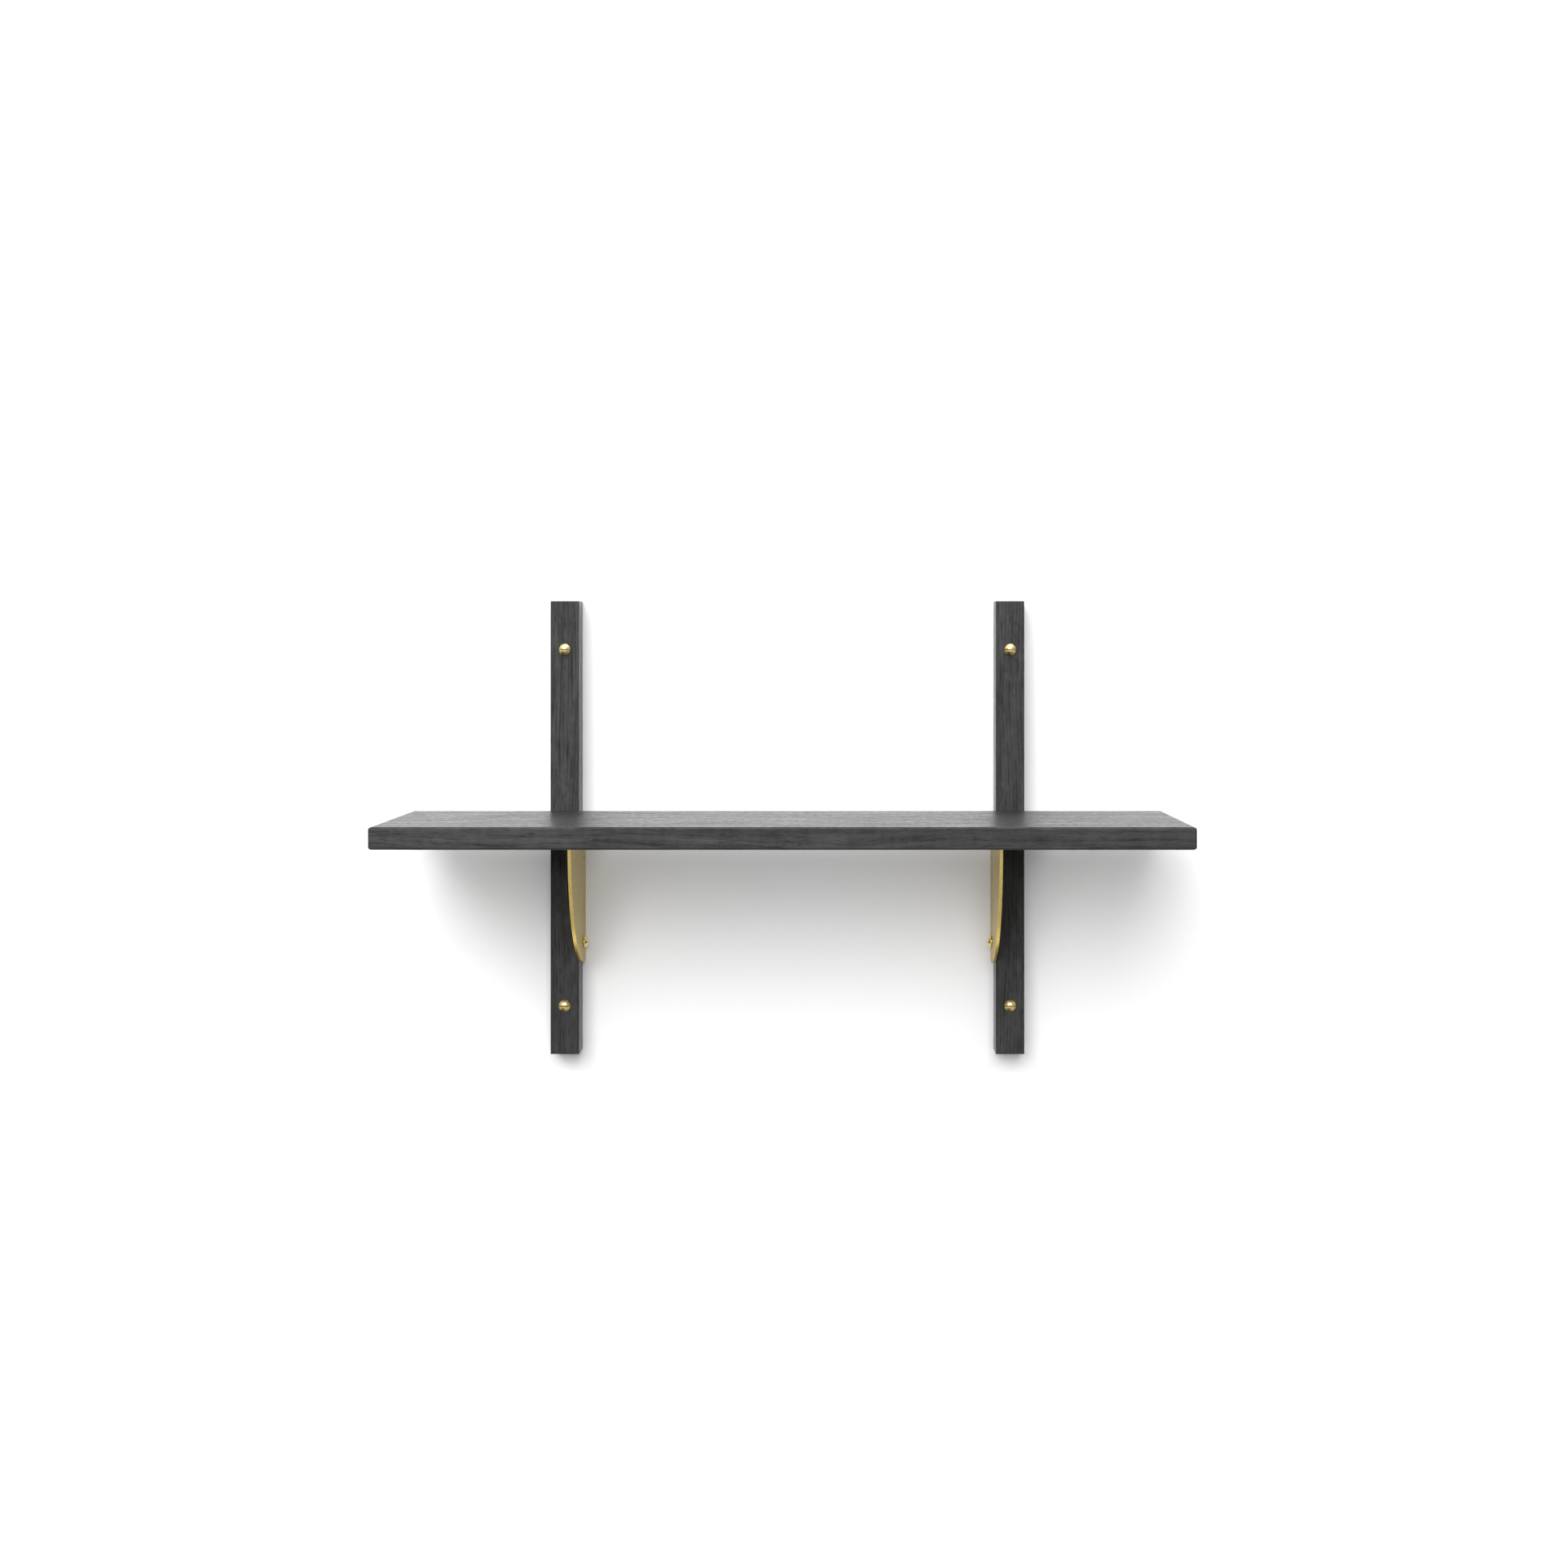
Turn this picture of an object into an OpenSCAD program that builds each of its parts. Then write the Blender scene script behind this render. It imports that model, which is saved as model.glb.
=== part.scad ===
// Wall shelf: one board in front of two uprights, carried by two quarter-round folded brackets.
// Millimetres. Back of the uprights (the wall) is the plane y = 0, the front faces -Y, +Z is up.
// Origin: centre of the four wall screws, on the wall plane. Left and right are as seen from the front.

/* [Board] */
// Board length, side to side
board_w = 580; // [420:5:900]
// Board depth, front to back
board_d = 170; // [140:1:240]
// Board thickness
board_t = 16; // [14:1:25]
// Height of the board's top face above the middle of the uprights
board_top_z = 13; // [-40:1:60]
// Radius of the board's eased edges
board_ease = 1.6; // [0.5:0.1:3]
// Radius of the board's four corners, seen from the front
board_corner = 2.6; // [0.5:0.1:4]

/* [Uprights] */
// Upright height
upright_h = 350; // [300:5:500]
// Upright width, seen from the front
upright_w = 22; // [20:1:40]
// Upright depth, from the wall to its front face
upright_d = 26; // [22:1:40]
// Distance between the centre lines of the two uprights
upright_spacing = 344; // [240:1:400]
// Radius of the uprights' eased front edges
upright_ease = 1; // [0.4:0.1:2]

/* [Brackets] */
// Radius of the quarter-round plate
bracket_r = 103; // [90:1:125]
// Sheet thickness
bracket_t = 2.5; // [2:0.1:3.2]
// Width of the folded flange under the board, measured from the upright
flange_w = 18; // [15:1:24]
// Inside radius of the fold
fold_r = 2; // [1:0.5:3]
// Distance from the wall to the start of the flange, past the upright's front
flange_start = 30; // [30:1:42]
// Distance from the plate's top edge down to the bracket screw
bracket_screw_drop = 86.7; // [70:0.1:88]
// Distance from the plate's top edge down to the locating pin
pin_drop = 21; // [14:1:30]
// Distance from the wall to the bracket screw and pin
bracket_fix_y = 13; // [10:0.5:15]

/* [Wall screws] */
// Vertical distance between the two wall screws of an upright
wall_screw_spacing = 275; // [220:1:290]
// Thread diameter of a wall screw
wall_screw_d = 4.5; // [4:0.1:5]
// Diameter of the wall screw's plain shank, inside the upright
wall_shank_d = 3.4; // [3:0.1:3.8]
// Length of a wall screw's thread, which enters the wall
wall_thread_l = 34; // [25:1:50]
// Head diameter of the wall and bracket screws
head_d = 9.2; // [8.4:0.1:10]
// Head height of the wall and bracket screws
head_h = 3.4; // [2.6:0.1:4]
// Width of a screw head's slot, as a share of its diameter
slot_share = 0.13; // [0.1:0.01:0.18]
// Depth of a screw head's slot, as a share of its height
slot_depth = 0.5; // [0.35:0.05:0.6]

/* [Small screws and pins] */
// Shank diameter of a bracket screw
bracket_screw_d = 4; // [3.5:0.1:4.5]
// Shank length of a bracket screw, under the head
bracket_screw_l = 18; // [12:1:18]
// Shank diameter of a board screw
board_screw_d = 3.5; // [3:0.1:4]
// Shank length of a board screw, under the head
board_screw_l = 13; // [10:1:13]
// Head diameter of a board screw
board_head_d = 7; // [6:0.1:7.5]
// Head height of a board screw
board_head_h = 2.5; // [2:0.1:3]
// Distance from the wall to the rear board screws
board_screw_y1 = 48; // [44:1:55]
// Distance from the wall to the front board screws
board_screw_y2 = 84; // [66:1:84]
// Diameter of a locating pin
pin_d = 3; // [2:0.5:4]
// Length of a locating pin
pin_l = 12; // [8:1:16]

/* [Hidden] */
$fn = 72;
e = 0.01;
under_z = board_top_z - board_t;
ux = upright_spacing / 2;
// inner side face of an upright
ix = ux - upright_w / 2;
wz = wall_screw_spacing / 2;
// clearance of the holes screws pass through
clr = 0.3;
fold_o = fold_r + bracket_t;
// across, from the middle of the object to a board screw
bsx = ix - flange_w / 2 - 1;

oak = [0.16, 0.155, 0.15];
brass = [0.80, 0.63, 0.30];
dark = [0.10, 0.09, 0.08];

// rectangle w x h from the origin, with the corners listed in c rounded to r
// corners: 0 = (0,0), 1 = (w,0), 2 = (w,h), 3 = (0,h)
module eased_rect(w, h, r, c) {
  difference() {
    square([w, h]);
    for (i = c) {
      px = (i == 1 || i == 2) ? w : 0;
      py = (i >= 2) ? h : 0;
      sx = px > 0 ? -1 : 1;
      sy = py > 0 ? -1 : 1;
      difference() {
        translate([px - (sx < 0 ? r : 1), py - (sy < 0 ? r : 1)]) square([r + 1, r + 1]);
        translate([px + sx * r, py + sy * r]) circle(r = r);
      }
    }
  }
}

// dome-head screw with a straight slot along X, head upward, underside of the head on z = 0
// thread diameter d, length l under the head, of which plain has the diameter pd
module dome_screw(d, l, hd, hh, plain = 0, pd = 0) {
  a = hd / 2;
  rim = hh * 0.2;
  dome = hh - rim;
  rs = (a * a + dome * dome) / (2 * dome);
  wid = hd * slot_share;
  union() {
    difference() {
      union() {
        cylinder(r = a, h = rim);
        intersection() {
          translate([0, 0, hh - rs]) sphere(r = rs);
          translate([0, 0, rim]) cylinder(r = a, h = dome + 1);
        }
      }
      translate([-hd, -wid / 2, hh * (1 - slot_depth)]) cube([2 * hd, wid, 2 * hh]);
    }
    if (plain > 0) translate([0, 0, -plain - e]) cylinder(r = pd / 2, h = plain + e);
    translate([0, 0, -l + d]) cylinder(r = d / 2, h = l - d - plain);
    translate([0, 0, -l]) cylinder(r1 = 0.3, r2 = d / 2, h = d);
  }
}

// upright centred on x = 0
module upright_body() {
  difference() {
    intersection() {
      // plan: front edges eased
      translate([-upright_w / 2, 0, -upright_h / 2])
        linear_extrude(height = upright_h)
          mirror([0, 1]) eased_rect(upright_w, upright_d, upright_ease, [2, 3]);
      // side: ends eased at the front
      translate([upright_w / 2, 0, -upright_h / 2])
        rotate([90, 0, -90])
          linear_extrude(height = upright_w)
            eased_rect(upright_d, upright_h, upright_ease * 0.6, [1, 2]);
    }
    for (s = [-1, 1])
      translate([0, 1, s * wz]) rotate([90, 0, 0])
        cylinder(r = (wall_screw_d + clr) / 2, h = upright_d + 2);
  }
}

// pilot holes for a bracket's screw and pin, drilled into the side face at x = 0 toward +X
module side_pilots() {
  translate([-1, -bracket_fix_y, under_z - bracket_screw_drop]) rotate([0, 90, 0])
    cylinder(r = bracket_screw_d / 2, h = 1 + bracket_screw_l - bracket_t + 0.5);
  translate([-1, -bracket_fix_y, under_z - pin_drop]) rotate([0, 90, 0])
    cylinder(r = pin_d / 2, h = 1 + pin_l - bracket_t + 0.3);
}

module upright_left() {
  color(oak)
    difference() {
      translate([-ux, 0, 0]) upright_body();
      translate([-ix, 0, 0]) mirror([1, 0, 0]) side_pilots();
    }
}

module upright_right() {
  color(oak)
    difference() {
      translate([ux, 0, 0]) upright_body();
      translate([ix, 0, 0]) side_pilots();
    }
}

module shelf_board() {
  color(oak)
    difference() {
      intersection() {
        // side section
        translate([board_w / 2, -upright_d, under_z])
          rotate([90, 0, -90])
            linear_extrude(height = board_w)
              eased_rect(board_d, board_t, board_ease, [0, 1, 2, 3]);
        // front section
        translate([-board_w / 2, -upright_d + 1, under_z])
          rotate([90, 0, 0])
            linear_extrude(height = board_d + 2)
              eased_rect(board_w, board_t, board_corner, [0, 1, 2, 3]);
        // plan
        translate([-board_w / 2, -upright_d - board_d, under_z - 1])
          linear_extrude(height = board_t + 2)
            eased_rect(board_w, board_d, board_ease, [0, 1, 2, 3]);
      }
      for (s = [-1, 1], y = [board_screw_y1, board_screw_y2])
        translate([s * bsx, -y, under_z - 1])
          cylinder(r = board_screw_d / 2, h = 1 + board_screw_l - bracket_t + 0.5);
    }
}

// bracket for the left upright: plate from x = 0 to bracket_t, flange toward +X,
// fold's outer corner at the origin, the wall at y = 0
module bracket_body() {
  difference() {
    union() {
      // quarter-round plate, its wall corner eased
      translate([bracket_t, 0, 0])
        rotate([90, 0, -90])
          linear_extrude(height = bracket_t)
            difference() {
              intersection() {
                circle(r = bracket_r, $fn = 180);
                translate([0, -bracket_r - 1]) square([bracket_r + 1, bracket_r + 1]);
              }
              // eased tip at the wall
              difference() {
                translate([-1, -bracket_r - 1]) square([3, 3]);
                translate([2, -bracket_r + 2]) circle(r = 2);
              }
              // room for the fold, with a relief notch behind it
              translate([flange_start - 2, -fold_o - 1.5]) square([2, fold_o + 2.5]);
              translate([flange_start - e, -fold_o]) square([bracket_r, fold_o + 1]);
            }
      // fold
      translate([0, -flange_start, 0])
        rotate([90, 0, 0])
          linear_extrude(height = bracket_r - 0.1 - flange_start)
            union() {
              intersection() {
                difference() {
                  translate([fold_o, -fold_o]) circle(r = fold_o);
                  translate([fold_o, -fold_o]) circle(r = fold_r);
                }
                translate([-1, -fold_o]) square([fold_o + 1, fold_o + 1]);
              }
            }
      // flange
      translate([fold_o, -bracket_r + 0.1, -bracket_t])
        linear_extrude(height = bracket_t)
          eased_rect(flange_w - fold_o, bracket_r - 0.1 - flange_start, 5, [1, 2]);
    }
    // bracket screw and pin
    translate([-1, -bracket_fix_y, -bracket_screw_drop]) rotate([0, 90, 0])
      cylinder(r = (bracket_screw_d + clr) / 2, h = bracket_t + 2);
    translate([-1, -bracket_fix_y, -pin_drop]) rotate([0, 90, 0])
      cylinder(r = pin_d / 2, h = bracket_t + 2);
    // board screws
    for (y = [board_screw_y1, board_screw_y2])
      translate([ix - bsx, -y, -bracket_t - 1])
        cylinder(r = (board_screw_d + clr) / 2, h = bracket_t + 2);
  }
}

module bracket_left() {
  color(brass) translate([-ix, 0, under_z]) bracket_body();
}

module bracket_right() {
  color(brass) translate([ix, 0, under_z]) mirror([1, 0, 0]) bracket_body();
}

module wall_screw() {
  translate([0, -upright_d, 0]) rotate([90, 0, 0])
    dome_screw(wall_screw_d, upright_d + wall_thread_l, head_d, head_h, upright_d, wall_shank_d);
}

module wall_screw_top_left() {
  color(brass) translate([-ux, 0, wz]) wall_screw();
}

module wall_screw_top_right() {
  color(brass) translate([ux, 0, wz]) wall_screw();
}

module wall_screw_bottom_left() {
  color(brass) translate([-ux, 0, -wz]) wall_screw();
}

module wall_screw_bottom_right() {
  color(brass) translate([ux, 0, -wz]) wall_screw();
}

module bracket_screw() {
  // slot turned level
  rotate([0, 0, 90]) dome_screw(bracket_screw_d, bracket_screw_l, head_d, head_h);
}

module bracket_screw_left() {
  color(brass)
    translate([-ix + bracket_t, -bracket_fix_y, under_z - bracket_screw_drop])
      rotate([0, 90, 0]) bracket_screw();
}

module bracket_screw_right() {
  color(brass)
    translate([ix - bracket_t, -bracket_fix_y, under_z - bracket_screw_drop])
      rotate([0, -90, 0]) bracket_screw();
}

// pin along +Z, its visible end at z = -0.3, just below the plate's face
module pin_body() {
  translate([0, 0, -pin_l]) cylinder(r = pin_d / 2, h = pin_l - 0.3);
}

module bracket_pin_left() {
  color(dark)
    translate([-ix + bracket_t, -bracket_fix_y, under_z - pin_drop])
      rotate([0, 90, 0]) pin_body();
}

module bracket_pin_right() {
  color(dark)
    translate([ix - bracket_t, -bracket_fix_y, under_z - pin_drop])
      rotate([0, -90, 0]) pin_body();
}

module board_screw() {
  translate([0, 0, under_z - bracket_t]) rotate([180, 0, 0])
    dome_screw(board_screw_d, board_screw_l, board_head_d, board_head_h);
}

module board_screw_rear_left() {
  color(brass) translate([-bsx, -board_screw_y1, 0]) board_screw();
}

module board_screw_front_left() {
  color(brass) translate([-bsx, -board_screw_y2, 0]) board_screw();
}

module board_screw_rear_right() {
  color(brass) translate([bsx, -board_screw_y1, 0]) board_screw();
}

module board_screw_front_right() {
  color(brass) translate([bsx, -board_screw_y2, 0]) board_screw();
}

upright_left();
upright_right();
shelf_board();
bracket_left();
bracket_right();
wall_screw_top_left();
wall_screw_top_right();
wall_screw_bottom_left();
wall_screw_bottom_right();
bracket_screw_left();
bracket_screw_right();
bracket_pin_left();
bracket_pin_right();
board_screw_rear_left();
board_screw_front_left();
board_screw_rear_right();
board_screw_front_right();
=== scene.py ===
import bpy
import bmesh
import math
from mathutils import Matrix, Vector


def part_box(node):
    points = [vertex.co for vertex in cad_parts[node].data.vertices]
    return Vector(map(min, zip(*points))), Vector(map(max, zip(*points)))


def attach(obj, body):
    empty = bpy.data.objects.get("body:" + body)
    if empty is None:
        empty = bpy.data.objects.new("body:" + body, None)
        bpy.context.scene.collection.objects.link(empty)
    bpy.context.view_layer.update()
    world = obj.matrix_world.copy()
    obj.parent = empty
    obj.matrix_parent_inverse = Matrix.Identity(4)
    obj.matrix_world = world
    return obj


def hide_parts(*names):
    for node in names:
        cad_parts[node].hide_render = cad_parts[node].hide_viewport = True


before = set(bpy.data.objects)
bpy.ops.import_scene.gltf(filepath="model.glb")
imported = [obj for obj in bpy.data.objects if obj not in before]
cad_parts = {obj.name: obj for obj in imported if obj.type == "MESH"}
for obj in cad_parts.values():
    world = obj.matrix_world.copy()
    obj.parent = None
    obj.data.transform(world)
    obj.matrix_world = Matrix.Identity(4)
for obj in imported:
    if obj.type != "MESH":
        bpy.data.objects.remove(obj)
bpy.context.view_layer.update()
SCENE = bpy.context.scene
COLL = SCENE.collection

# sizes shared with part.scad, in metres
T = 0.0025          # sheet thickness of a bracket
FOLD_R = 0.002      # inside radius of its fold
FOLD_O = FOLD_R + T
PLATE_R = 0.103     # radius of the quarter-round plate
FLANGE_W = 0.018
FLANGE_START = 0.030
FIX_Y = 0.013
SCREW_DROP = 0.0867
PIN_DROP = 0.021
UNDER_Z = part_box("shelf_board")[0].z   # underside of the board
BOARD_SCREW_U = (0.048, 0.084)


# ---------------------------------------------------------------- node helpers
class Nodes:
    """Small helper for writing a node tree in a few lines."""

    def __init__(self, name, tree=None):
        if tree is None:
            self.mat = bpy.data.materials.new(name)
            self.mat.use_nodes = True
            tree = self.mat.node_tree
        self.t = tree
        self.t.nodes.clear()

    def new(self, kind, **kw):
        n = self.t.nodes.new(kind)
        for k, v in kw.items():
            setattr(n, k, v)
        return n

    def link(self, a, b):
        self.t.links.new(a, b)

    def put(self, sock, v):
        if hasattr(v, "links"):
            self.link(v, sock)
        else:
            sock.default_value = v

    def math(self, op, a, b=None, c=None, clamp=False):
        n = self.new("ShaderNodeMath", operation=op, use_clamp=clamp)
        for i, v in enumerate((a, b, c)):
            if v is not None:
                self.put(n.inputs[i], v)
        return n.outputs[0]

    def vmath(self, op, a, b=None, s=None):
        n = self.new("ShaderNodeVectorMath", operation=op)
        self.put(n.inputs[0], a)
        if b is not None:
            self.put(n.inputs[1], b)
        if s is not None:
            self.put(n.inputs["Scale"], s)
        return n.outputs["Value"] if op in ("LENGTH", "DOT_PRODUCT", "DISTANCE") else n.outputs["Vector"]

    def mapping(self, v, loc=(0, 0, 0), rot=(0, 0, 0), scale=(1, 1, 1)):
        n = self.new("ShaderNodeMapping")
        self.link(v, n.inputs["Vector"])
        n.inputs["Location"].default_value = loc
        n.inputs["Rotation"].default_value = rot
        n.inputs["Scale"].default_value = scale
        return n.outputs[0]

    def noise(self, v, scale=1.0, detail=2.0, rough=0.5, dist=0.0, colour=False):
        n = self.new("ShaderNodeTexNoise")
        self.link(v, n.inputs["Vector"])
        n.inputs["Scale"].default_value = scale
        n.inputs["Detail"].default_value = detail
        n.inputs["Roughness"].default_value = rough
        n.inputs["Distortion"].default_value = dist
        return n.outputs["Color" if colour else "Fac"]

    def ramp(self, f, stops, interp="LINEAR"):
        n = self.new("ShaderNodeValToRGB")
        n.color_ramp.interpolation = interp
        els = n.color_ramp.elements
        while len(els) < len(stops):
            els.new(0.5)
        for e, (p, c) in zip(els, stops):
            e.position = p
            e.color = c if len(c) == 4 else (*c, 1.0)
        self.link(f, n.inputs[0])
        return n.outputs[0]

    def grey(self, f, stops, interp="LINEAR"):
        return self.ramp(f, [(p, (g, g, g, 1.0)) for p, g in stops], interp)

    def mix(self, f, a, b, blend="MIX"):
        n = self.new("ShaderNodeMix", data_type="RGBA", blend_type=blend)
        n.clamp_factor = True
        self.put(n.inputs["Factor"], f)
        self.put(n.inputs["A"], a)
        self.put(n.inputs["B"], b)
        return n.outputs["Result"]

    def range(self, v, a, b, c, d):
        n = self.new("ShaderNodeMapRange")
        self.link(v, n.inputs[0])
        for i, x in enumerate((a, b, c, d)):
            n.inputs[i + 1].default_value = x
        return n.outputs[0]

    def bump(self, h, strength, dist, normal=None):
        n = self.new("ShaderNodeBump")
        self.put(n.inputs["Height"], h)
        n.inputs["Strength"].default_value = strength
        n.inputs["Distance"].default_value = dist
        if normal is not None:
            self.link(normal, n.inputs["Normal"])
        return n.outputs[0]

    def shader(self, colour, rough, normal=None, metallic=0.0, **kw):
        p = self.new("ShaderNodeBsdfPrincipled")
        self.put(p.inputs["Base Color"], colour)
        self.put(p.inputs["Roughness"], rough)
        p.inputs["Metallic"].default_value = metallic
        if normal is not None:
            self.link(normal, p.inputs["Normal"])
        for k, v in kw.items():
            p.inputs[k.replace("_", " ")].default_value = v
        out = self.new("ShaderNodeOutputMaterial")
        self.link(p.outputs[0], out.inputs["Surface"])
        return p

    def coords(self):
        return self.new("ShaderNodeTexCoord").outputs["Object"]


def c3(r, g=None, b=None):
    return (r, r if g is None else g, r if b is None else b, 1.0)


# ---------------------------------------------------------------- materials
def oak(name, along, seed, pith, spacing=0.0026):
    """Black-stained open-pore oak, satin. along is the grain's axis, pith the centre of its rings across the grain."""
    n = Nodes(name)
    co = n.coords()
    if along == "Z":   # turn the grain onto the texture's X
        co = n.mapping(co, rot=(0, math.radians(90), 0))
    base = n.mapping(co, loc=seed)
    # slow wander of the rings along the board
    w1 = n.noise(n.mapping(base, scale=(2.2, 9, 9)), detail=2.0, colour=True)
    w2 = n.noise(n.mapping(base, scale=(11, 60, 60)), detail=2.0, colour=True)
    warp = n.vmath("ADD",
                   n.vmath("SCALE", n.vmath("SUBTRACT", w1, (0.5, 0.5, 0.5)), s=0.030),
                   n.vmath("SCALE", n.vmath("SUBTRACT", w2, (0.5, 0.5, 0.5)), s=0.0030))
    wood = n.vmath("ADD", base, warp)
    flat = n.vmath("MULTIPLY", n.vmath("SUBTRACT", wood, (0, *pith)), (0, 1, 1))
    dist = n.vmath("LENGTH", flat)
    phase = n.math("FRACT", n.math("DIVIDE", dist, spacing))
    early = n.grey(phase, [(0.0, 1.0), (0.10, 0.95), (0.42, 0.15), (0.90, 0.0), (1.0, 1.0)])
    # open pores: short slots along the grain, crowded in the early wood
    pz = n.noise(n.mapping(wood, scale=(150, 2300, 2300)), detail=1.5, rough=0.55)
    pores = n.grey(n.math("ADD", pz, n.math("MULTIPLY", early, 0.085)),
                   [(0.0, 0.0), (0.625, 0.0), (0.70, 1.0), (1.0, 1.0)])
    fibre = n.noise(n.mapping(wood, scale=(34, 1500, 1500)), detail=4.0, rough=0.62)
    streak = n.noise(n.mapping(wood, scale=(7, 260, 260)), detail=3.0, rough=0.6)
    # dark lines where rows of pores run together, and the lacquer's unevenness
    rows = n.noise(n.mapping(wood, loc=(0.4, 0.2, 0.1), scale=(22, 640, 640)), detail=2.0, rough=0.55)
    rows = n.grey(n.math("ADD", rows, n.math("MULTIPLY", early, 0.05)), [(0.0, 0.0), (0.53, 0.0), (0.66, 1.0), (1.0, 1.0)])
    mottle = n.noise(n.mapping(base, scale=(60, 190, 190)), detail=3.0, rough=0.6)
    speck = n.noise(n.mapping(base, loc=(0.2, 0.6, 0.3), scale=(260, 120, 120) if along == "X" else (120, 260, 260)), detail=2.0)
    band = n.noise(n.mapping(wood, loc=(0.7, 0.1, 0.5), scale=(15, 105, 105)), detail=4.0, rough=0.6)
    broad = n.noise(n.mapping(base, scale=(3, 16, 16)), detail=3.0)
    # stain: late wood takes a little less of it, pores hold the most
    tone = n.math("ADD", n.math("MULTIPLY", streak, 0.55),
                  n.math("ADD", n.math("MULTIPLY", fibre, 0.30), n.math("MULTIPLY", broad, 0.25)))
    tone = n.math("SUBTRACT", tone, n.math("MULTIPLY", early, 0.12))
    col = n.ramp(tone, [(0.30, c3(0.0090)), (0.50, c3(0.0140)), (0.62, c3(0.0180)), (0.78, c3(0.0225))])
    col = n.mix(n.math("MULTIPLY", pores, 0.75), col, c3(0.006))
    col = n.mix(n.math("MULTIPLY", rows, 0.30), col, c3(0.0060))
    # a satin lacquer: broad sheen seen square on, a clearer one seen along the surface
    graze = n.new("ShaderNodeLayerWeight")
    graze.inputs["Blend"].default_value = 0.5
    gloss = n.grey(graze.outputs["Facing"], [(0.0, 0.72), (0.60, 0.68), (0.84, 0.40), (0.93, 0.345), (1.0, 0.28)])
    rough = n.math("ADD", gloss, n.math("MULTIPLY", n.math("SUBTRACT", 0.5, streak), 0.14))
    rough = n.math("ADD", rough, n.math("MULTIPLY", n.math("SUBTRACT", band, 0.5), 0.36))
    rough = n.math("ADD", rough, n.math("MULTIPLY", n.math("SUBTRACT", speck, 0.5), 0.26))
    rough = n.math("ADD", rough, n.math("MULTIPLY", pores, 0.14), clamp=True)
    h = n.math("SUBTRACT", n.math("MULTIPLY", fibre, 0.22), pores)
    h = n.math("ADD", h, n.math("MULTIPLY", streak, 0.35))
    nrm = n.bump(mottle, 1.0, 0.00008, n.bump(h, 0.55, 0.00010))
    spec = n.math("ADD", 0.5, n.math("MULTIPLY", n.math("SUBTRACT", mottle, 0.5), 0.45))
    spec = n.math("ADD", spec, n.math("MULTIPLY", n.math("SUBTRACT", streak, 0.5), 0.22))
    spec = n.math("SUBTRACT", spec, n.math("MULTIPLY", rows, 0.15), clamp=True)
    p = n.shader(col, rough, nrm, IOR=1.5)
    n.link(spec, p.inputs["Specular IOR Level"])
    return n.mat


def brushed_brass(name, seed=0.0):
    """Brushed sheet brass, the brushing up and down, with dull handling patches."""
    n = Nodes(name)
    co = n.mapping(n.coords(), loc=(seed, seed * 0.7, 0))
    lines = n.noise(n.mapping(co, scale=(5200, 5200, 42)), detail=3.0, rough=0.6)
    coarse = n.noise(n.mapping(co, scale=(900, 900, 14)), detail=3.0, rough=0.55)
    patch = n.noise(n.mapping(co, scale=(34, 34, 20)), detail=5.0, rough=0.6, dist=0.4)
    spots = n.noise(n.mapping(co, scale=(420, 420, 420)), detail=2.0)
    dull = n.grey(patch, [(0.0, 0.0), (0.42, 0.10), (0.62, 0.85), (1.0, 1.0)])
    col = n.mix(dull, c3(0.54, 0.43, 0.21), c3(0.46, 0.37, 0.18))
    col = n.mix(n.range(coarse, 0.35, 0.7, 0.0, 0.45), col, c3(0.34, 0.27, 0.135))
    col = n.mix(n.grey(spots, [(0.0, 0.0), (0.70, 0.0), (0.78, 0.5), (1.0, 0.6)]), col, c3(0.26, 0.19, 0.08))
    # the brushing also greys what is mirrored along the surface
    sheen = n.mix(n.range(coarse, 0.32, 0.68, 0.0, 1.0), c3(1.0, 0.925, 0.68), c3(0.86, 0.785, 0.55))
    rough = n.math("ADD", n.range(coarse, 0.3, 0.7, 0.165, 0.235), n.math("MULTIPLY", dull, 0.06))
    rough = n.math("ADD", rough, n.math("MULTIPLY", lines, 0.05), clamp=True)
    # the quarter-round edge is cut bright
    out = n.vmath("LENGTH", n.vmath("MULTIPLY", n.vmath("ADD", n.coords(), (0, 0, -UNDER_Z)), (0, 1, 1)))
    rim = n.range(out, PLATE_R - 0.00040, PLATE_R - 0.00015, 0.0, 1.0)
    bright = n.mix(n.range(spots, 0.35, 0.70, 0.0, 1.0), c3(0.92, 0.70, 0.24), c3(0.82, 0.60, 0.18))
    col = n.mix(rim, col, bright)
    sheen = n.mix(rim, sheen, c3(1.0, 0.90, 0.62))
    rough = n.math("ADD", rough, n.math("MULTIPLY", rim, 0.06), clamp=True)
    h = n.math("ADD", n.math("MULTIPLY", lines, 0.7), n.math("MULTIPLY", coarse, 0.5))
    nrm = n.bump(h, 0.35, 0.00003)
    p = n.shader(col, rough, nrm, metallic=1.0)
    n.link(sheen, p.inputs["Specular Tint"])
    return n.mat


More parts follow.
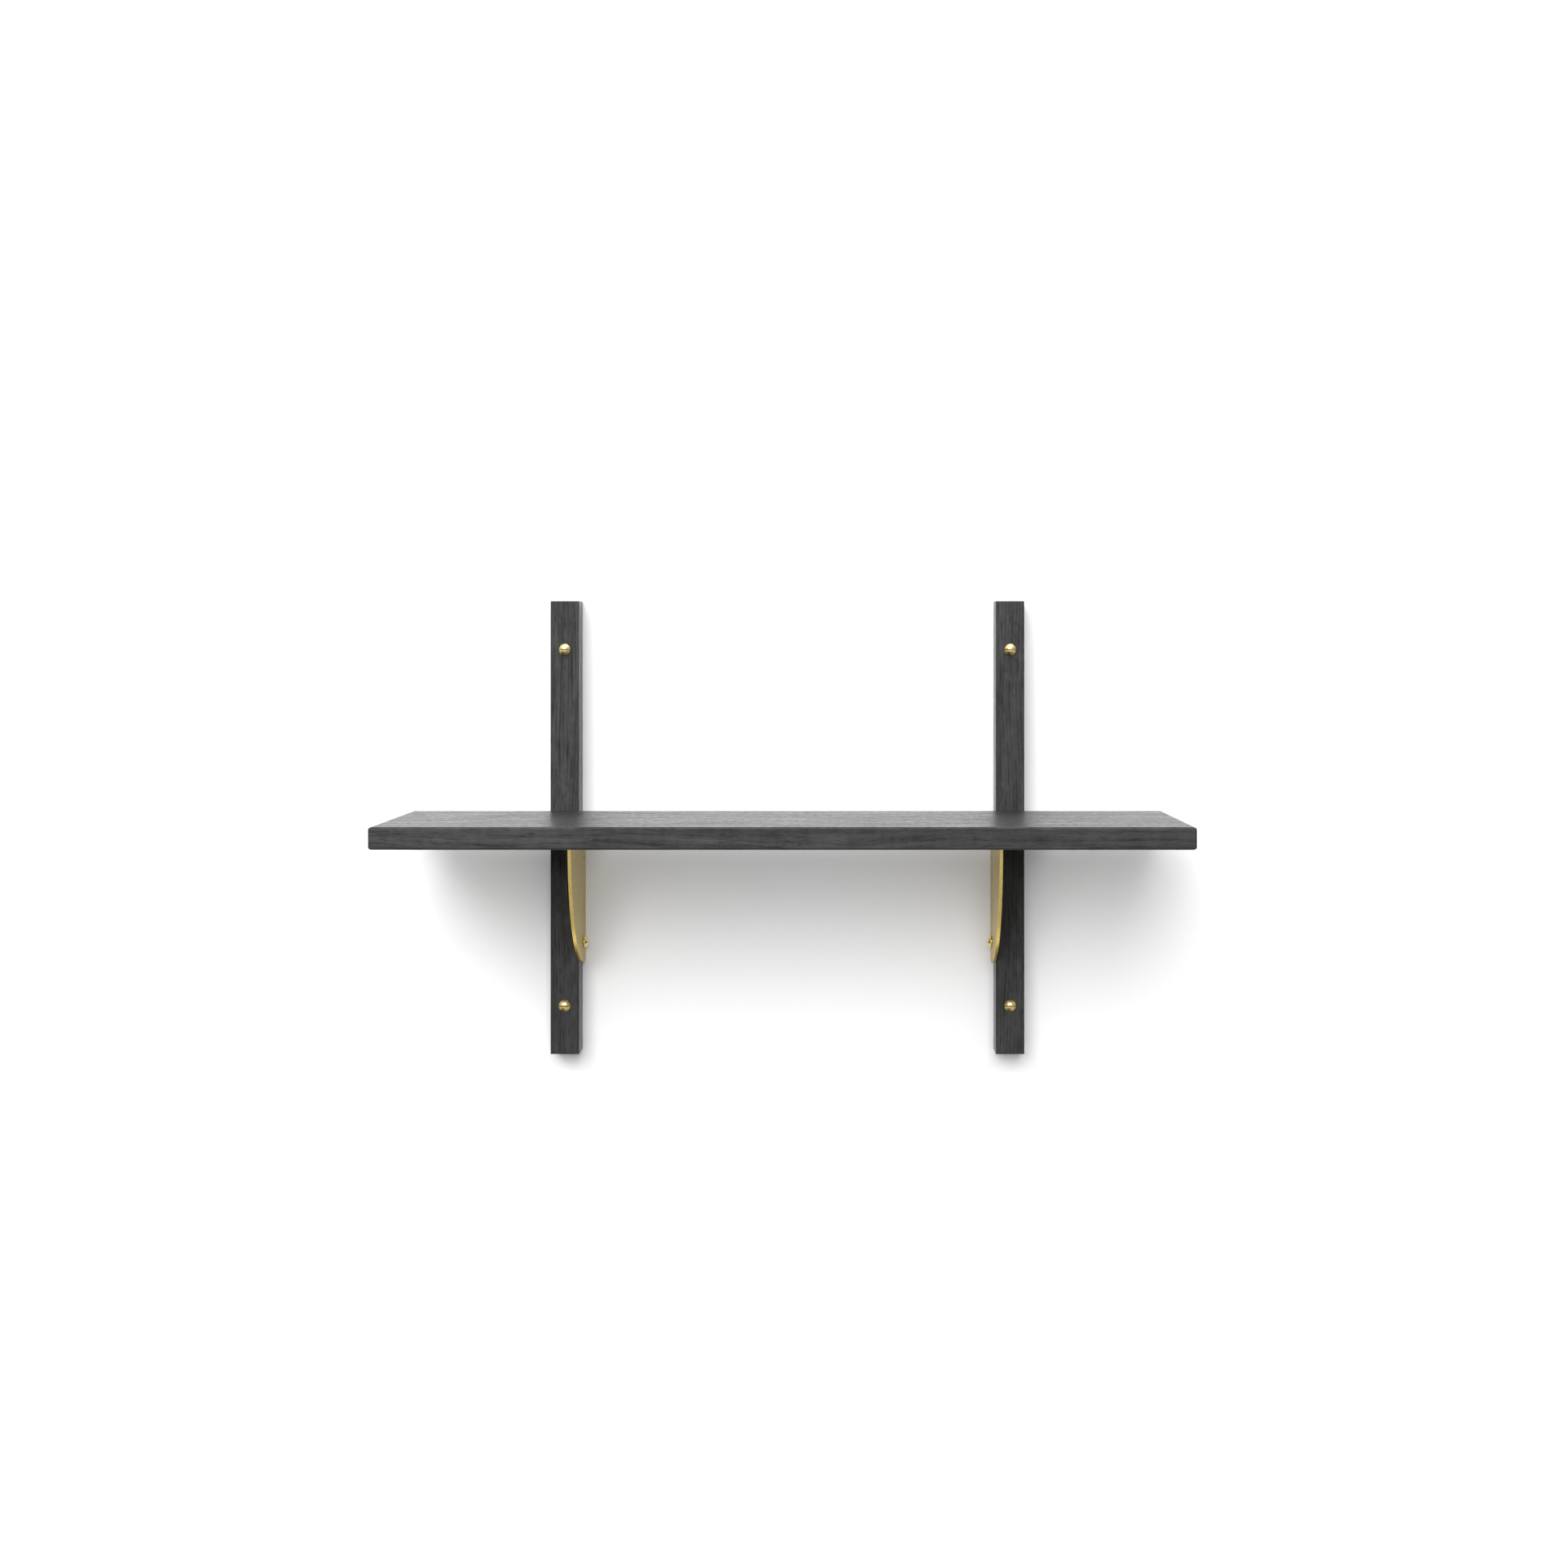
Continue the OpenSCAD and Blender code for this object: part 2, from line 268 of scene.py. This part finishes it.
def polished_brass(name):
    """Turned and polished screw brass, with fine turning marks and a few darker spots."""
    n = Nodes(name)
    co = n.coords()
    fine = n.noise(n.mapping(co, scale=(3600, 3600, 3600)), detail=3.0, rough=0.6)
    cloud = n.noise(n.mapping(co, scale=(520, 520, 520)), detail=4.0, rough=0.55)
    col = n.mix(n.range(cloud, 0.35, 0.7, 0.0, 1.0), c3(0.93, 0.76, 0.345), c3(0.84, 0.66, 0.27))
    col = n.mix(n.grey(fine, [(0.0, 0.0), (0.66, 0.0), (0.75, 0.55), (1.0, 0.6)]), col, c3(0.42, 0.29, 0.11))
    rough = n.math("ADD", n.range(cloud, 0.3, 0.7, 0.33, 0.41), n.math("MULTIPLY", fine, 0.05), clamp=True)
    # painted shade in the slot and round the foot of the head, and on the wall screws a painted dark reflection spot on
    # the dome
    painted_shade_and_reflection = n.new("ShaderNodeAttribute", attribute_name="painted_shade_and_reflection").outputs["Fac"]
    painted_shade_and_reflection_mask = n.math("MULTIPLY", painted_shade_and_reflection, n.range(cloud, 0.3, 0.7, 0.75, 1.0), clamp=True)
    col = n.mix(painted_shade_and_reflection_mask, col, c3(0.10, 0.060, 0.014))
    rough = n.math("ADD", rough, n.math("MULTIPLY", painted_shade_and_reflection_mask, 0.16), clamp=True)
    nrm = n.bump(n.math("ADD", fine, cloud), 0.18, 0.00003)
    n.shader(col, rough, nrm, metallic=1.0)
    return n.mat


def black_steel(name):
    """Blackened steel pin, a little lighter in random patches."""
    n = Nodes(name)
    co = n.coords()
    a = n.noise(n.mapping(co, scale=(2400, 2400, 2400)), detail=4.0, rough=0.65)
    b = n.noise(n.mapping(co, scale=(700, 700, 700)), detail=3.0)
    col = n.mix(n.range(b, 0.35, 0.65, 0.0, 1.0), c3(0.018, 0.016, 0.014), c3(0.06, 0.045, 0.03))
    rough = n.range(a, 0.3, 0.7, 0.42, 0.62)
    n.shader(col, rough, n.bump(a, 0.4, 0.00004), metallic=0.7)
    return n.mat


def plaster(name, colour, one_sided=False):
    """Plain painted wall or floor, for the stage only."""
    n = Nodes(name)
    co = n.coords()
    a = n.noise(n.mapping(co, scale=(260, 260, 260)), detail=3.0)
    b = n.noise(n.mapping(co, scale=(3, 3, 3)), detail=2.0)
    col = n.mix(n.range(b, 0.3, 0.7, 0.0, 1.0), c3(colour), c3(colour * 0.985))
    p = n.shader(col, 0.9, n.bump(a, 0.05, 0.0002))
    p.inputs["Specular IOR Level"].default_value = 0.1
    if one_sided:
        out = next(x for x in n.t.nodes if x.type == "OUTPUT_MATERIAL")
        clear = n.new("ShaderNodeBsdfTransparent")
        m = n.new("ShaderNodeMixShader")
        n.link(n.new("ShaderNodeNewGeometry").outputs["Backfacing"], m.inputs[0])
        n.link(p.outputs[0], m.inputs[1])
        n.link(clear.outputs[0], m.inputs[2])
        n.link(m.outputs[0], out.inputs["Surface"])
    return n.mat


# ---------------------------------------------------------------- mesh helpers
def to_object(bm, name, material, smooth=True, angle=None):
    me = bpy.data.meshes.new(name)
    bmesh.ops.recalc_face_normals(bm, faces=bm.faces)
    for f in bm.faces:
        f.smooth = smooth
    if angle is not None:
        for e in bm.edges:
            if len(e.link_faces) == 2 and e.calc_face_angle(0.0) > angle:
                e.smooth = False
    bm.to_mesh(me)
    bm.free()
    o = bpy.data.objects.new(name, me)
    COLL.objects.link(o)
    me.materials.append(material)
    return o


def weighted(o):
    m = o.modifiers.new("normals", "WEIGHTED_NORMAL")
    m.keep_sharp = True
    m.weight = 80
    return o


def circle_pts(cx, cy, r, n=48):
    return [(cx + r * math.cos(2 * math.pi * i / n), cy + r * math.sin(2 * math.pi * i / n)) for i in range(n)]


def plate_outline():
    """Flat pattern of a bracket before folding: u from the wall, v up from the plate's top edge."""
    v0 = -FOLD_O
    rm = FOLD_R + T / 2
    vmax = v0 + rm * math.pi / 2 + (FLANGE_W - FOLD_O)
    u1 = PLATE_R - 0.0001
    pts = [(0.0, 0.0)]
    # wall edge down to the eased tip
    r = 0.002
    pts += [(r - r * math.cos(a), -PLATE_R + r - r * math.sin(a)) for a in [math.radians(x) for x in range(0, 86, 9)]]
    # quarter round, out to the fold line
    a0 = math.asin(r / PLATE_R) * 1.05
    a1 = math.acos(-v0 / PLATE_R) - 0.0006
    n = 110
    for i in range(n + 1):
        a = a0 + (a1 - a0) * i / n
        pts.append((PLATE_R * math.sin(a), -PLATE_R * math.cos(a)))
    # front end of the flange, with round corners
    rc = 0.005
    pts += [(u1 - rc + rc * math.cos(a), vmax - rc + rc * math.sin(a)) for a in [math.radians(x) for x in range(0, 91, 9)]]
    pts += [(FLANGE_START + rc - rc * math.sin(a), vmax - rc + rc * math.cos(a)) for a in [math.radians(x) for x in range(0, 91, 9)]]
    # relief notch, round at the bottom
    rn = 0.001
    bottom = -FOLD_O - 0.0015 + rn
    pts += [(FLANGE_START - rn + rn * math.cos(a), bottom - rn * math.sin(a)) for a in [math.radians(x) for x in range(0, 181, 20)]]
    pts += [(FLANGE_START - 2 * rn, 0.0)]
    holes = [circle_pts(FIX_Y, -SCREW_DROP, 0.00215), circle_pts(FIX_Y, -PIN_DROP, 0.0015, 40)]
    for u in BOARD_SCREW_U:
        holes.append(circle_pts(u, v0 + rm * math.pi / 2 + (0.010 - FOLD_O), 0.0019, 40))
    return pts, holes, v0, rm, vmax


def bracket(name, node, sign, material):
    """Sheet-brass bracket: its flat pattern cut with eased edges, then folded. sign is +1 where the flange goes toward +X."""
    pts, holes, v0, rm, vmax = plate_outline()
    ease = 0.00022
    cu = bpy.data.curves.new(name + "_flat", "CURVE")
    cu.dimensions = "2D"
    cu.fill_mode = "BOTH"
    cu.extrude = T / 2 - ease
    cu.bevel_depth = ease
    cu.bevel_resolution = 3
    cu.offset = -ease
    for loop in [pts] + holes:
        s = cu.splines.new("POLY")
        s.points.add(len(loop) - 1)
        for p, (u, v) in zip(s.points, loop):
            p.co = (u, v, 0, 1)
        s.use_cyclic_u = True
    tmp = bpy.data.objects.new(name + "_flat", cu)
    COLL.objects.link(tmp)
    dg = bpy.context.evaluated_depsgraph_get()
    me = bpy.data.meshes.new_from_object(tmp.evaluated_get(dg))
    bpy.data.objects.remove(tmp)
    bm = bmesh.new()
    bm.from_mesh(me)
    bpy.data.meshes.remove(me)
    bmesh.ops.remove_doubles(bm, verts=bm.verts, dist=2e-6)
    bend = rm * math.pi / 2
    cuts = [v0 + bend * i / 12 for i in range(13)]
    for v in cuts:
        bmesh.ops.bisect_plane(bm, geom=bm.verts[:] + bm.edges[:] + bm.faces[:],
                               plane_co=(0, v, 0), plane_no=(0, 1, 0), dist=1e-7)
    lo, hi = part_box(node)
    x0 = lo.x if sign > 0 else hi.x   # outer face, against the upright
    zt = hi.z
    for vert in bm.verts:
        u, v, w = vert.co
        w = w + T / 2                  # 0 at the outer face, T at the inner one
        w = T - w
        if u < FLANGE_START - 0.0015 or v <= v0:
            x, z = w, v
        else:
            s = v - v0
            if s <= bend:
                a = s / rm
                rho = FOLD_O - w
                x, z = FOLD_O - rho * math.cos(a), -FOLD_O + rho * math.sin(a)
            else:
                x, z = FOLD_O + (s - bend), -w
        vert.co = (x0 + sign * x, -u, zt + z)
    o = to_object(bm, name, material, angle=math.radians(50))
    weighted(o)
    return o


def lathe(bm, profile, seg, mat=Matrix.Identity(4)):
    """Spins (radius, z) points round Z, closing the ends on the axis."""
    rings = []
    for r, z in profile:
        if r < 1e-7:
            rings.append([bm.verts.new(mat @ Vector((0, 0, z)))])
        else:
            rings.append([bm.verts.new(mat @ Vector((r * math.cos(2 * math.pi * i / seg), r * math.sin(2 * math.pi * i / seg), z))) for i in range(seg)])
    for a, b in zip(rings, rings[1:]):
        for i in range(seg):
            j = (i + 1) % seg
            if len(a) == 1 and len(b) == 1:
                continue
            if len(a) == 1:
                bm.faces.new((a[0], b[i], b[j]))
            elif len(b) == 1:
                bm.faces.new((a[i], b[0], a[j]))
            else:
                bm.faces.new((a[i], b[i], b[j], a[j]))


def slot_cutter(hd, hh):
    """The straight slot of a screw, a closed wedge along X, a little narrower at its floor."""
    bm = bmesh.new()
    top, floor = hh + 0.0006, hh * 0.5
    wt, wb, r = hd * 0.070, hd * 0.062, hd
    rows = [[bm.verts.new((x, y, z)) for y, z in ((-wb, floor), (wb, floor), (wt, top), (-wt, top))] for x in (-r, r)]
    for i in range(4):
        j = (i + 1) % 4
        bm.faces.new((rows[0][i], rows[0][j], rows[1][j], rows[1][i]))
    bm.faces.new(rows[0])
    bm.faces.new(rows[1])
    bmesh.ops.recalc_face_normals(bm, faces=bm.faces)
    return bm


def screw_mesh(name, d, length, hd, hh, plain, pd, pitch, seg=96, painted_reflection_spot=None):
    """Dome-head wood screw along Z: underside of the head at 0, thread down to -length."""
    # head, as one closed form
    a = hd / 2
    rim = hh * 0.2
    dome = hh - rim
    rs = (a * a + dome * dome) / (2 * dome)
    prof = [(0.0, hh)]
    amax = math.asin(a / rs)
    n = 26
    for i in range(1, n + 1):
        t = amax * i / n
        prof.append((rs * math.sin(t), hh - rs + rs * math.cos(t)))
    soft = 0.00022
    prof[-1] = (a - soft * 0.25, rim + soft * 0.35)
    prof += [(a, rim - soft * 0.35), (a, soft * 0.8), (a - soft * 0.25, soft * 0.2), (a - soft, 0.0), (pd / 2 if plain else d / 2 * 0.8, 0.0), (0.0, 0.0)]
    bm = bmesh.new()
    lathe(bm, prof, seg)
    bmesh.ops.recalc_face_normals(bm, faces=bm.faces)
    me = bpy.data.meshes.new(name + "_head")
    bm.to_mesh(me)
    bm.free()
    head = bpy.data.objects.new(name + "_head", me)
    COLL.objects.link(head)
    cb = slot_cutter(hd, hh)
    cm = bpy.data.meshes.new(name + "_cut")
    cb.to_mesh(cm)
    cb.free()
    cut = bpy.data.objects.new(name + "_cut", cm)
    COLL.objects.link(cut)
    mod = head.modifiers.new("cut", "BOOLEAN")
    mod.operation = "DIFFERENCE"
    mod.solver = "EXACT"
    mod.object = cut
    dg = bpy.context.evaluated_depsgraph_get()
    done = bpy.data.meshes.new_from_object(head.evaluated_get(dg))
    bpy.data.objects.remove(head)
    bpy.data.objects.remove(cut)
    bm = bmesh.new()
    bm.from_mesh(done)
    bpy.data.meshes.remove(done)
    bmesh.ops.remove_doubles(bm, verts=bm.verts, dist=1e-7)
    # ease the slot's mouth
    sharp = [e for e in bm.edges if len(e.link_faces) == 2 and e.calc_face_angle(0.0) > math.radians(28)
             and min(v.co.z for v in e.verts) > hh * 0.45 and max(abs(v.co.y) for v in e.verts) < hd * 0.08]
    if sharp:
        bmesh.ops.bevel(bm, geom=sharp, offset=0.00007, offset_type="OFFSET", segments=2, profile=0.6,
                        affect="EDGES", clamp_overlap=True)
    # painted shade in the slot and round the foot of the head, and where a spot is given, a painted dark reflection
    # spot on the dome
    painted_shade_and_reflection_layer = bm.verts.layers.float.new("painted_shade_and_reflection")
    for v in bm.verts:
        r = math.hypot(v.co.x, v.co.y)
        if abs(v.co.y) < hd * 0.072 and v.co.z < hh * 0.60 and r < a * 0.93:
            v[painted_shade_and_reflection_layer] = 1.0
        elif r > a * 0.9 and v.co.z < hh * 0.14:
            v[painted_shade_and_reflection_layer] = 0.9
        elif painted_reflection_spot:
            away = math.hypot(v.co.x - painted_reflection_spot[0] * a, v.co.y - painted_reflection_spot[1] * a) / (painted_reflection_spot[2] * a)
            v[painted_shade_and_reflection_layer] = max(0.0, min(1.0, 1.5 - 1.5 * away))
    # shank and thread
    seg_t = 40
    z0, zt = 0.0004, -plain if plain else -0.0006
    crest, root = d / 2, d / 2 * 0.70
    zs = [z0, 0.0]
    step = pitch / 14
    nz = int((length + zt) / step)
    if plain:
        zs += [-plain * 0.5, -plain + 0.0008]
    rings = []

    def radius(z, ang):
        if z > zt + 0.0007 or z > 0:
            return (pd / 2) if plain else root
        left = z + length
        env = crest if left > d else 0.00025 + (crest - 0.00025) * left / d
        fade = min(1.0, max(0.0, (zt - z) / pitch + 0.25))
        ph = (z / pitch + ang / (2 * math.pi)) % 1.0
        tri = max(0.0, 1 - abs(ph - 0.5) / 0.24)
        tri = min(1.0, tri * 1.12)
        base = min(root, env * 0.78)
        body = base if not plain else base + (pd / 2 - base) * max(0.0, 1 - (zt - z) / pitch) * 0.8
        return body + (env - body) * tri * fade

    for i in range(nz + 1):
        zs.append(zt - i * step)
    zs = [z for z in zs if z > -length + 0.0002] + [-length + 0.0002]
    for z in zs:
        rings.append([bm.verts.new((radius(z, 2 * math.pi * i / seg_t) * math.cos(2 * math.pi * i / seg_t),
                                    radius(z, 2 * math.pi * i / seg_t) * math.sin(2 * math.pi * i / seg_t), z)) for i in range(seg_t)])
    for p, q in zip(rings, rings[1:]):
        for i in range(seg_t):
            j = (i + 1) % seg_t
            bm.faces.new((p[i], q[i], q[j], p[j]))
    bm.faces.new(rings[0])
    tip = bm.verts.new((0, 0, -length))
    for i in range(seg_t):
        bm.faces.new((rings[-1][(i + 1) % seg_t], rings[-1][i], tip))
    return bm


def screw(name, node, direction, material, mesh):
    """Puts a screw's mesh where its CAD node is, slot level. direction is the way its head faces."""
    lo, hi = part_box(node)
    c = (lo + hi) / 2
    d = Vector(direction)
    tip = Vector([(lo if d[i] > 0 else hi)[i] if abs(d[i]) > 0.5 else c[i] for i in range(3)])
    length = max(hi - lo)
    rot = d.to_track_quat("Z", "Y").to_matrix().to_4x4()
    me = mesh.copy()
    zmin = min(v.co.z for v in me.vertices)
    me.transform(Matrix.Translation(tip - d * zmin) @ rot)
    me.name = name
    o = bpy.data.objects.new(name, me)
    COLL.objects.link(o)
    me.materials.append(material)
    weighted(o)
    return o


def pin(name, node, direction, material):
    """Locating pin with an eased, slightly domed end."""
    lo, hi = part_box(node)
    c = (lo + hi) / 2
    d = Vector(direction)
    tip = Vector([(lo if d[i] > 0 else hi)[i] if abs(d[i]) > 0.5 else c[i] for i in range(3)])
    length, r = hi.x - lo.x, (hi.z - lo.z) / 2
    prof = [(0, length), (r * 0.35, length - 0.00002), (r * 0.7, length - 0.00010), (r * 0.9, length - 0.00022), (r, length - 0.0004),
            (r, length * 0.5), (r, 0.0006), (r * 0.75, 0.0), (0, 0)]
    bm = bmesh.new()
    rot = d.to_track_quat("Z", "Y").to_matrix().to_4x4()
    lathe(bm, prof, 40, Matrix.Translation(tip) @ rot)
    o = to_object(bm, name, material, angle=math.radians(50))
    weighted(o)
    return o


# ---------------------------------------------------------------- the object
OAK = {
    "shelf_board": oak("black_oak_board", "X", (0.31, 0.07, 0.02), (0.045, -0.090), 0.0031),
    "upright_left": oak("black_oak_left", "Z", (0.93, 0.41, 0.15), (0.52, 0.060), 0.0024),
    "upright_right": oak("black_oak_right", "Z", (0.17, 0.77, 0.36), (0.70, 0.300), 0.0027),
}
for node, mat in OAK.items():
    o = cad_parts[node]
    o.data.materials.clear()
    o.data.materials.append(mat)

BRASS_L = brushed_brass("brass_plate_left", 0.11)
BRASS_R = brushed_brass("brass_plate_right", 0.43)
SCREW_MAT = polished_brass("brass_screw")
PIN_MAT = black_steel("pin_black")

for side, sgn, mat in (("left", 1, BRASS_L), ("right", -1, BRASS_R)):
    p = bracket("brass_bracket_" + side, "bracket_" + side, sgn, mat)
    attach(p, "root")
    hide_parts("bracket_" + side)


def finished(bm, angle):
    me = bpy.data.meshes.new("screw_form")
    bmesh.ops.recalc_face_normals(bm, faces=bm.faces)
    for f in bm.faces:
        f.smooth = True
    for e in bm.edges:
        if len(e.link_faces) == 2 and e.calc_face_angle(0.0) > angle:
            e.smooth = False
    bm.to_mesh(me)
    bm.free()
    return me


# the wall screws carry a painted dark reflection spot on the dome
WALL = finished(screw_mesh("wall_screw", 0.0045, 0.060, 0.0092, 0.0034, 0.026, 0.0034, 0.0021, painted_reflection_spot=(-0.27, -0.66, 0.52)), math.radians(46))
SIDE = finished(screw_mesh("bracket_screw", 0.0040, 0.018, 0.0092, 0.0034, 0, 0.0, 0.0018), math.radians(46))
UNDER = finished(screw_mesh("board_screw", 0.0035, 0.013, 0.0070, 0.0025, 0, 0.0, 0.0016), math.radians(46))

placed = []
for v, z in (("top", 1), ("bottom", -1)):
    for h in ("left", "right"):
        node = f"wall_screw_{v}_{h}"
        placed.append((node, (0, -1, 0), WALL))
for h, d in (("left", 1), ("right", -1)):
    placed.append((f"bracket_screw_{h}", (d, 0, 0), SIDE))
    for r in ("rear", "front"):
        placed.append((f"board_screw_{r}_{h}", (0, 0, -1), UNDER))
for node, d, mesh in placed:
    s = screw("brass_" + node, node, d, SCREW_MAT, mesh)
    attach(s, "root")
    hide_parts(node)
for h, d in (("left", 1), ("right", -1)):
    p = pin("steel_pin_" + h, "bracket_pin_" + h, (d, 0, 0), PIN_MAT)
    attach(p, "root")
    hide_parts("bracket_pin_" + h)


# ---------------------------------------------------------------- stage
def grid_face(bm, x0, x1, z0, z1):
    return bm.faces.new([bm.verts.new(c) for c in ((x0, 0, z0), (x1, 0, z0), (x1, 0, z1), (x0, 0, z1))])


def wall_stage():
    """White wall at the uprights' backs, open behind each upright and plate so that their backs see light from behind."""
    bm = bmesh.new()
    y = 0.0002
    cuts = []
    for side, sgn in (("left", -1), ("right", 1)):
        lo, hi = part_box("upright_" + side)
        cuts.append((lo.x + 0.001, hi.x - 0.001, lo.z + 0.001, hi.z - 0.001))
        plo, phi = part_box("bracket_" + side)
        face = lo.x if sgn > 0 else hi.x        # the plate lies against the upright's inner face
        a, b = sorted((face - sgn * 0.0003, face - sgn * (T - 0.0003)))
        cuts.append((a, b, plo.z + 0.003, phi.z - 0.006))
    cuts.sort()
    x = -3.2
    for a, b, c, d in cuts:
        grid_face(bm, x, a, -0.62, 2.4)
        grid_face(bm, a, b, -0.62, c)
        grid_face(bm, a, b, d, 2.4)
        x = b
    grid_face(bm, x, 3.2, -0.62, 2.4)
    bmesh.ops.remove_doubles(bm, verts=bm.verts, dist=1e-6)
    for v in bm.verts:
        v.co.y = y
    me = bpy.data.meshes.new("stage_wall")
    bm.to_mesh(me)
    bm.free()
    for p in me.polygons:
        if p.normal.y > 0:
            p.flip()
    o = bpy.data.objects.new("stage_wall", me)
    COLL.objects.link(o)
    me.materials.append(plaster("stage_wall", 0.80, one_sided=True))
    return o


def floor_stage():
    bm = bmesh.new()
    s = 4.5
    bm.faces.new([bm.verts.new(c) for c in ((-s, -s, -0.62), (s, -s, -0.62), (s, s, -0.62), (-s, s, -0.62))])
    me = bpy.data.meshes.new("stage_floor")
    bm.to_mesh(me)
    bm.free()
    o = bpy.data.objects.new("stage_floor", me)
    COLL.objects.link(o)
    me.materials.append(plaster("stage_floor", 0.24))
    return o


wall_stage()
floor_stage()


# ---------------------------------------------------------------- light and camera
def area(name, loc, target, size, power, size_y=None, colour=(1, 1, 1)):
    l = bpy.data.lights.new(name, "AREA")
    l.shape = "RECTANGLE"
    l.size = size
    l.size_y = size_y or size
    l.energy = power
    l.color = colour
    o = bpy.data.objects.new(name, l)
    COLL.objects.link(o)
    o.location = loc
    o.rotation_mode = "QUATERNION"
    o.rotation_quaternion = (Vector(target) - Vector(loc)).to_track_quat("-Z", "Y")
    return o

def far(name, az, el, half_w, half_h, radiance, dist=5.0):
    """Large soft light a long way off, given by the angles it is seen at from the object and how bright it looks."""
    a, e = math.radians(az), math.radians(el)
    d = Vector((math.sin(a) * math.cos(e), -math.cos(a) * math.cos(e), math.sin(e)))
    sx, sy = 2 * dist * math.tan(math.radians(half_w)), 2 * dist * math.tan(math.radians(half_h))
    o = area(name, d * dist, (0, 0, 0), sx, radiance * math.pi * sx * sy, sy)
    o.visible_camera = False
    return o


far("key", -6.5, 22.0, 19.5, 15.0, 9.5)
far("overhead", 33.0, 73.3, 58.0, 5.0, 15.0, 3.2)
far("behind", 205.0, 35.0, 18.0, 14.0, 7.0)

w = bpy.data.worlds.new("studio")
SCENE.world = w
w.use_nodes = True
bg = w.node_tree.nodes["Background"]
bg.inputs["Color"].default_value = (1, 1, 1, 1)
bg.inputs["Strength"].default_value = 0.41

SCENE.view_settings.view_transform = "Standard"
SCENE.view_settings.look = "None"
SCENE.view_settings.exposure = 0.0
SCENE.view_settings.gamma = 1.0

cam = bpy.data.cameras.new("camera")
co = bpy.data.objects.new("camera", cam)
COLL.objects.link(co)
SCENE.camera = co
cam.sensor_width = 36.0
cam.sensor_fit = "HORIZONTAL"
D, F = 1.813, 2851.0     # distance to the wall in metres, focal length in pixels of a 1932-pixel frame
cam.lens = F * 36.0 / 1932
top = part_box("upright_left")[1].z
co.location = (0.0366, -D, top - 0.0414)
co.rotation_euler = (math.radians(90), 0, 0)
cam.shift_x = (966 - 1028.6) / 1932
cam.shift_y = (806.6 - 966) / 1932
cam.clip_start, cam.clip_end = 0.05, 50
